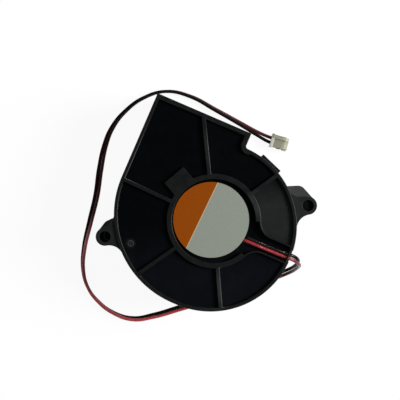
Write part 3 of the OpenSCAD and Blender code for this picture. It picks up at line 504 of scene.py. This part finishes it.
def red_insulation():
    """Red vinyl with painted light and shade: lighter and pinker at the round end, with a painted highlight
    at its palest, a deeper red in the channel, and painted shade dark at the loop outside, along the
    outlet's side and deep red at the plug.
    """
    finish = Finish("red_insulation").set(Specular_IOR_Level=0.35, Coat_Roughness=VINYL_COAT_ROUGHNESS)
    # Painted light: the paler red, palest in a painted highlight; painted shade: the dark reds of the loop,
    # the outlet's side and the plug
    painted_light_red = finish.mottle(VINYL_PATCH, (0.36, 0.045, 0.052), (0.46, 0.07, 0.078))
    painted_highlight_red = finish.mottle(VINYL_PATCH, (0.62, 0.19, 0.205), (0.74, 0.25, 0.27))
    channel = finish.mottle(VINYL_PATCH, (0.21, 0.014, 0.017), (0.29, 0.022, 0.026))
    loop_painted_shade = finish.mottle(VINYL_PATCH, (0.07, 0.01, 0.013), (0.11, 0.017, 0.021))
    dark = finish.mottle(VINYL_PATCH, (0.05, 0.006, 0.009), (0.075, 0.01, 0.013))
    deep_painted_shade = finish.mottle(VINYL_PATCH, (0.06, 0.007, 0.009), (0.09, 0.011, 0.014))
    x, y, z = finish.local()
    painted_light_red = finish.blend(finish.near(*PAINTED_HIGHLIGHT_RED), painted_light_red, painted_highlight_red)
    painted_light_red = finish.blend(finish.span(z, *CHANNEL_Z), painted_light_red, channel)
    painted_light_red = finish.blend(finish.span(x, *LOOP_X), painted_light_red, loop_painted_shade)
    painted_shade_red = finish.blend(finish.span(x, *DEEP_RED_X), dark, deep_painted_shade)
    off = finish.maths("SUBTRACT", y, finish.maths("MULTIPLY", x, PAINTED_SHADE_SLOPE))
    finish.colour(finish.blend(finish.span(off, *PAINTED_SHADE_Y), painted_light_red, painted_shade_red))
    finish.roughness(2 * MM, 0.26, 0.36)
    finish.link(finish.span(z, *GLOSSY_Z), finish.shader.inputs["Coat Weight"])
    finish.grain(0.8 * MM, 0.004 * MM)
    return finish.material


def black_insulation():
    """Black vinyl: reddish with a painted reflection of the red wire beside it, glossy in the housing's
    channel.
    """
    finish = Finish("black_insulation").set(Specular_IOR_Level=0.1, Coat_Roughness=VINYL_COAT_ROUGHNESS)
    black = finish.mottle(VINYL_PATCH, (0.0016, 0.0012, 0.0012), (0.0035, 0.0026, 0.0026))
    painted_red_reflection = finish.mottle(VINYL_PATCH, (0.013, 0.0022, 0.0032), (0.021, 0.004, 0.0055))
    finish.colour(finish.blend(finish.near(*PAINTED_RED_REFLECTION), black, painted_red_reflection))
    z = finish.local()["Z"]
    finish.link(finish.span(z, 20 * MM, 26 * MM, 0.55, 0.2), finish.shader.inputs["Roughness"])
    finish.link(finish.span(z, *GLOSSY_Z), finish.shader.inputs["Coat Weight"])
    finish.grain(0.8 * MM, 0.002 * MM)
    return finish.material


def nylon():
    """Natural nylon of the plug, slightly translucent, with painted light and shade: grey in painted shade
    along its body, a painted highlight on the flange at the wire end, painted light at the nose, and lines
    of painted shade along its ridges.
    """
    finish = Finish("nylon")
    finish.set(Subsurface_Weight=0.15, Subsurface_Radius=(MM, MM, MM), Specular_IOR_Level=0.5)
    along, across, _ = finish.local(PLUG_AT, PLUG_ANGLE)
    # The painted highlight on the flange at the wire end shows on one side only
    along = finish.maths("MAXIMUM", along, finish.span(across, 0.3 * MM, 1.3 * MM, 0, 0.24 * PLUG_L))
    # Painted light and shade along the plug: painted highlight at the flange, grey painted shade along the
    # body, painted light at the nose
    depth = finish.ramp(
        finish.maths("DIVIDE", along, PLUG_L),
        (0.0, (0.42, 0.43, 0.39)), (0.14, (0.5, 0.5, 0.45)), (0.2, (0.25, 0.25, 0.19)),
        (0.6, (0.265, 0.265, 0.195)), (0.82, (0.4, 0.392, 0.3)), (1.0, (0.64, 0.635, 0.53)),
    )
    painted_ridge_shade = finish.ramp(
        finish.maths("ADD", finish.maths("DIVIDE", across, PLUG_W), 0.5),
        (0.46, (0.9, 0.9, 0.9)), (0.62, (0.82, 0.82, 0.8)), (0.68, (0.6, 0.6, 0.56)), (0.74, (1, 1, 1)),
        (0.86, (1, 1, 1)), (0.91, (0.66, 0.66, 0.62)), (0.97, (1, 1, 1)),
    )
    body = finish.span(along, 0.16 * PLUG_L, 0.22 * PLUG_L)
    depth = finish.blend(body, depth, finish.tint(depth, painted_ridge_shade))
    finish.colour(finish.tint(depth, finish.mottle(1.2 * MM, (0.86, 0.86, 0.84), (1, 1, 1))))
    finish.roughness(2.5 * MM, 0.24, 0.4)
    finish.grain(0.5 * MM, 0.01 * MM)
    return finish.material


def winding():
    """Enamelled copper wire: turns side by side around each pole, with painted shade between the turns and
    painted light on their crowns.
    """
    finish = Finish("enamelled_copper").set(Metallic=1.0)
    wave = finish.maths("SINE", finish.maths("MULTIPLY", finish.reach(), 2 * math.pi / WINDING_PITCH))
    finish.colour(finish.ramp(wave, (0.0, (0.24, 0.07, 0.02)), (0.9, (0.62, 0.25, 0.09))))
    finish.roughness(0.8 * MM, 0.28, 0.4)
    finish.bump(wave, 0.05 * MM)
    return finish.material


def make_finishes():
    finishes = {
        "housing_plastic": housing_plastic(),
        "housing_panel": panel_plastic(),
        "lit_panel": lit_panel_plastic(),
        "pin_mark": pin_mark_plastic(),
        "label_film": label_film(),
        "red_insulation": red_insulation(),
        "black_insulation": black_insulation(),
        "nylon": nylon(),
        "enamelled_copper": winding(),
    }
    for name, look in MOULDED.items():
        finishes[name] = moulded(name, *look)
    for name, look in METALS.items():
        finishes[name] = metal(name, *look)
    return finishes


def dress(piece, *materials):
    piece.data.materials.clear()
    for material in materials:
        piece.data.materials.append(material)


def within(value, limits):
    return limits[0] < value < limits[1]


def rear_finish(face):
    """Name of the finish of a face of the rear shell."""
    angle = math.degrees(math.atan2(face.center.y, face.center.x))
    height = face.center.z / MM
    if face.normal.z < FACES_UP or height > RIM_Z:
        return "housing_plastic"
    if (face.center.xy - PIN_MARKS[1]).length < 0.2 * PIN_MARK_R:
        return "pin_mark"
    if within(height, PANEL_Z):
        return "lit_panel" if within(angle, LIT_PANEL_ANGLE) else "housing_panel"
    if within(height, EAR_TOP_Z):
        return "ear_top"
    return "ear_shelf" if within(height, EAR_SHELF_Z) else "housing_plastic"


def floor_material():
    """White floor that keeps a faint shadow and shows as white to the camera and in reflections."""
    finish = Finish("floor")
    finish.tree.nodes.remove(finish.shader)
    dull = finish.add("ShaderNodeBsdfDiffuse")
    glow = finish.add("ShaderNodeEmission")
    glow.inputs["Strength"].default_value = 1.0
    both = finish.add("ShaderNodeMixShader")
    ray = finish.add("ShaderNodeLightPath").outputs
    seen = finish.maths("MAXIMUM", ray["Is Camera Ray"], ray["Is Glossy Ray"])
    seen = finish.maths("MAXIMUM", seen, ray["Is Transmission Ray"])
    sky = finish.add("ShaderNodeAmbientOcclusion", samples=16)
    sky.inputs["Distance"].default_value = SLIT_REACH
    open_floor = finish.span(sky.outputs["AO"], *SLIT_SKY)
    for ear in EARS:
        beyond = finish.span(finish.reach((*ear, 0)), EAR_SHADE_R, EAR_LIGHT_R)
        open_floor = finish.maths("MULTIPLY", beyond, open_floor)
    share = finish.maths("MULTIPLY", finish.maths("MULTIPLY", seen, open_floor), FLOOR_GLOW)
    white = finish.mottle(0.2, (0.93, 0.93, 0.93), (0.96, 0.96, 0.96))
    dark = finish.mottle(MM, (0.003, 0.003, 0.003), (0.006, 0.006, 0.006))
    finish.link(finish.blend(open_floor, dark, white), dull.inputs["Color"])
    finish.link(share, both.inputs["Fac"])
    finish.link(dull.outputs["BSDF"], both.inputs[1])
    finish.link(glow.outputs["Emission"], both.inputs[2])
    finish.link(both.outputs["Shader"], finish.tree.nodes["Material Output"].inputs["Surface"])
    return finish.material


def make_stage():
    half = FLOOR_HALF
    corners = [(-half, -half, 0), (half, -half, 0), (half, half, 0), (-half, half, 0)]
    mesh = bpy.data.meshes.new("floor")
    mesh.from_pydata(corners, [], [(0, 1, 2, 3)])
    floor = bpy.data.objects.new("floor", mesh)
    floor.location.z = FLOOR_Z
    scene.collection.objects.link(floor)
    dress(floor, floor_material())


def make_lamp(name, place, size, power):
    lamp = bpy.data.objects.new(name, bpy.data.lights.new(name, "AREA"))
    lamp.data.shape = "DISK"
    lamp.data.size = size
    lamp.data.energy = power
    lamp.location = place
    lamp.rotation_euler = (LAMP_TARGET - Vector(place)).to_track_quat("-Z", "Y").to_euler()
    scene.collection.objects.link(lamp)


def make_light():
    world = bpy.data.worlds.new("world")
    scene.world = world
    world.use_nodes = True
    back = world.node_tree.nodes["Background"]
    back.inputs["Color"].default_value = (1, 1, 1, 1)
    back.inputs["Strength"].default_value = WORLD_LIGHT
    for lamp in LAMPS:
        make_lamp(*lamp)
    scene.view_settings.view_transform = "Standard"


make_camera()
finishes = make_finishes()
plug = rounded("connector_housing", "plug_housing", plug_width)
dress(plug, finishes["nylon"])
for colour, side in (("red", -1), ("black", 1)):
    dress(make_wire(colour, side), finishes[f"{colour}_insulation"])

housing = rounded("rear_housing", "rear_shell", shell_width)
dress(housing, *[finishes[name] for name in REAR_FINISHES])
for face in housing.data.polygons:
    face.material_index = REAR_FINISHES.index(rear_finish(face))
cover = rounded("front_cover", "front_shell", shell_width)
dress(cover, finishes["cover_plastic"])

for part in frame["record"]["subparts"]:
    dress(nodes[part["node"]], finishes[part["material_slot"]])

make_stage()
make_light()

bpy.context.view_layer.update()
